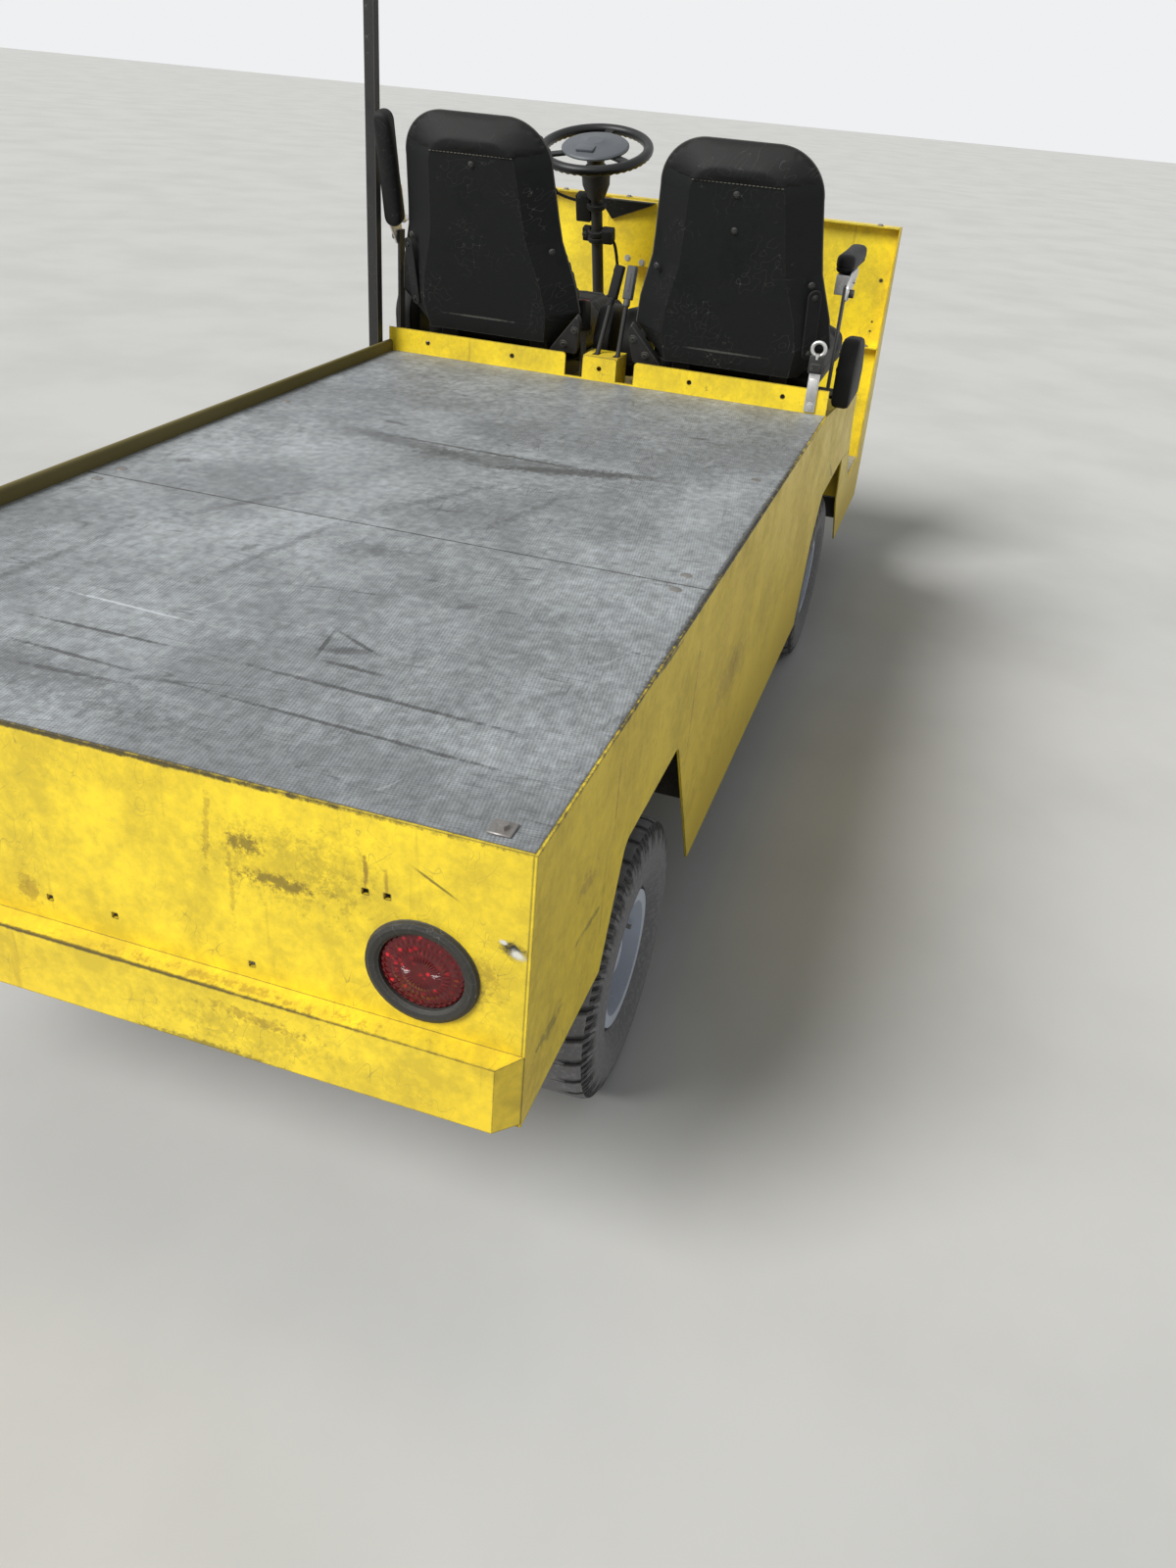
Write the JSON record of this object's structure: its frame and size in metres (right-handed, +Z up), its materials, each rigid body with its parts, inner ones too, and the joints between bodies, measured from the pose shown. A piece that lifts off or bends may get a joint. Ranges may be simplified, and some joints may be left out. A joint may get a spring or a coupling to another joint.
{
  "type": "electric burden carrier",
  "caption": "Two-seat electric burden carrier with a flat grey deck, yellow steel body, hip-restraint seats and steered front wheels.",
  "frame": {"origin": "on the ground, midway along the vehicle and on its centreline", "axes": "+X forward, +Y to the driver's left, +Z up"},
  "size_m": [3.42, 1.192, 1.97],
  "materials": {
    "yellow_paint": "worn industrial enamel, scratched and grimy",
    "deck_grey": "fine mesh anti-slip coating, scuffed",
    "black_vinyl": "moulded black vinyl, dusty",
    "black_plastic": "textured moulding",
    "black_steel": "black painted steel",
    "tyre_rubber": "dusty solid tyre rubber",
    "rim_paint": "dirty off-white paint",
    "lamp_rubber": "black grommet rubber",
    "red_lens": "faceted red lamp lens",
    "clear_lens": "clear lamp lens over a reflector",
    "amber_lens": "amber beacon dome",
    "chrome": "bright plating",
    "bare_steel": "worn steel",
    "cast_metal": "dirty castings",
    "battery_case": "battery cases as one block",
    "pad_grey": "grey moulding"
  },
  "bodies": {
    "vehicle": {"battery_pack": "battery_case", "beacon": "amber_lens", "beacon_mast": "black_steel", "belt_latch": "chrome", "bulkhead_strip": "yellow_paint", "chassis_rails": "black_steel", "cowl_wall": "yellow_paint", "dash_console": "yellow_paint", "deck_boards": "deck_grey", "deck_frame": "black_steel", "deck_lip": "yellow_paint", "footwell_floor": "deck_grey", "front_axle": "cast_metal", "front_bumper": "yellow_paint", "front_quarter_left": "yellow_paint", "front_quarter_right": "yellow_paint", "hand_levers": "bare_steel", "headlamp_lenses": "clear_lens", "hip_restraints_left": "black_plastic", "hip_restraints_right": "black_plastic", "instrument_panel": "black_plastic", "lamp_grommets": "lamp_rubber", "leaf_springs": "bare_steel", "lever_box": "yellow_paint", "nose_shell": "yellow_paint", "pedals": "black_steel", "rear_axle": "cast_metal", "rear_bumper": "yellow_paint", "rear_panel": "yellow_paint", "seat_back_pad_left": "black_vinyl", "seat_back_pad_right": "black_vinyl", "seat_back_shell_left": "black_plastic", "seat_back_shell_right": "black_plastic", "seat_box": "yellow_paint", "seat_cushion_left": "black_vinyl", "seat_cushion_right": "black_vinyl", "seat_frame_left": "black_steel", "seat_frame_right": "black_steel", "seat_supports": "black_steel", "side_panel_left": "yellow_paint", "side_panel_right": "yellow_paint", "steering_column": "black_steel", "tail_lenses": "red_lens"},
    "steering_wheel": {"steering_wheel": "pad_grey"},
    "tie_rod": {"tie_rod": "bare_steel"},
    "knuckle_left": {"steering_knuckle_left": "cast_metal"},
    "armrest_left": {"armrest_left": "black_vinyl"},
    "wheel_rear_left": {"rim_rear_left": "rim_paint", "tyre_rear_left": "tyre_rubber"},
    "wheel_front_left": {"rim_front_left": "rim_paint", "tyre_front_left": "tyre_rubber"},
    "knuckle_right": {"steering_knuckle_right": "cast_metal"},
    "armrest_right": {"armrest_right": "black_vinyl"},
    "wheel_rear_right": {"rim_rear_right": "rim_paint", "tyre_rear_right": "tyre_rubber"},
    "wheel_front_right": {"rim_front_right": "rim_paint", "tyre_front_right": "tyre_rubber"}
  },
  "joints": [
    {"name": "steer_left", "type": "hinge", "parent": "vehicle", "child": "knuckle_left", "pos_m": [0.676, 0.38, 0.228], "axis": [0, 0, 1], "range_deg": [-30, 30]},
    {"name": "spin_front_left", "type": "hinge", "parent": "knuckle_left", "child": "wheel_front_left", "pos_m": [0.676, 0.4865, 0.228], "axis": [0, 1, 0], "continuous": true},
    {"name": "spin_rear_left", "type": "hinge", "parent": "vehicle", "child": "wheel_rear_left", "pos_m": [-1.15, 0.4925, 0.228], "axis": [0, 1, 0], "continuous": true},
    {"name": "armrest_left_lift", "type": "hinge", "parent": "vehicle", "child": "armrest_left", "pos_m": [0.324, 0.304, 1.032], "axis": [0, 1, 0], "range_deg": [0, 105]},
    {"name": "steer_right", "type": "hinge", "parent": "vehicle", "child": "knuckle_right", "pos_m": [0.676, -0.38, 0.228], "axis": [0, 0, 1], "range_deg": [-30, 30]},
    {"name": "spin_front_right", "type": "hinge", "parent": "knuckle_right", "child": "wheel_front_right", "pos_m": [0.676, -0.4865, 0.228], "axis": [0, 1, 0], "continuous": true},
    {"name": "spin_rear_right", "type": "hinge", "parent": "vehicle", "child": "wheel_rear_right", "pos_m": [-1.15, -0.4925, 0.228], "axis": [0, 1, 0], "continuous": true},
    {"name": "armrest_right_lift", "type": "hinge", "parent": "vehicle", "child": "armrest_right", "pos_m": [0.324, -0.304, 1.032], "axis": [0, -1, 0], "range_deg": [0, 105]},
    {"name": "tie_rod_swing", "type": "hinge", "parent": "knuckle_left", "child": "tie_rod", "pos_m": [0.564, 0.38, 0.16], "axis": [0, 0, 1], "range_deg": [-30, 30]},
    {"name": "steering_wheel_turn", "type": "hinge", "parent": "vehicle", "child": "steering_wheel", "pos_m": [1.091, 0.305, 1.216], "axis": [-0.309, 0, 0.9511], "range_deg": [-450, 450]}
  ],
  "couplings": [
    {"joint": "steer_right", "follows": "steer_left", "ratio": 1},
    {"joint": "tie_rod_swing", "follows": "steer_left", "ratio": -1},
    {"joint": "steering_wheel_turn", "follows": "steer_left", "ratio": 15}
  ]
}
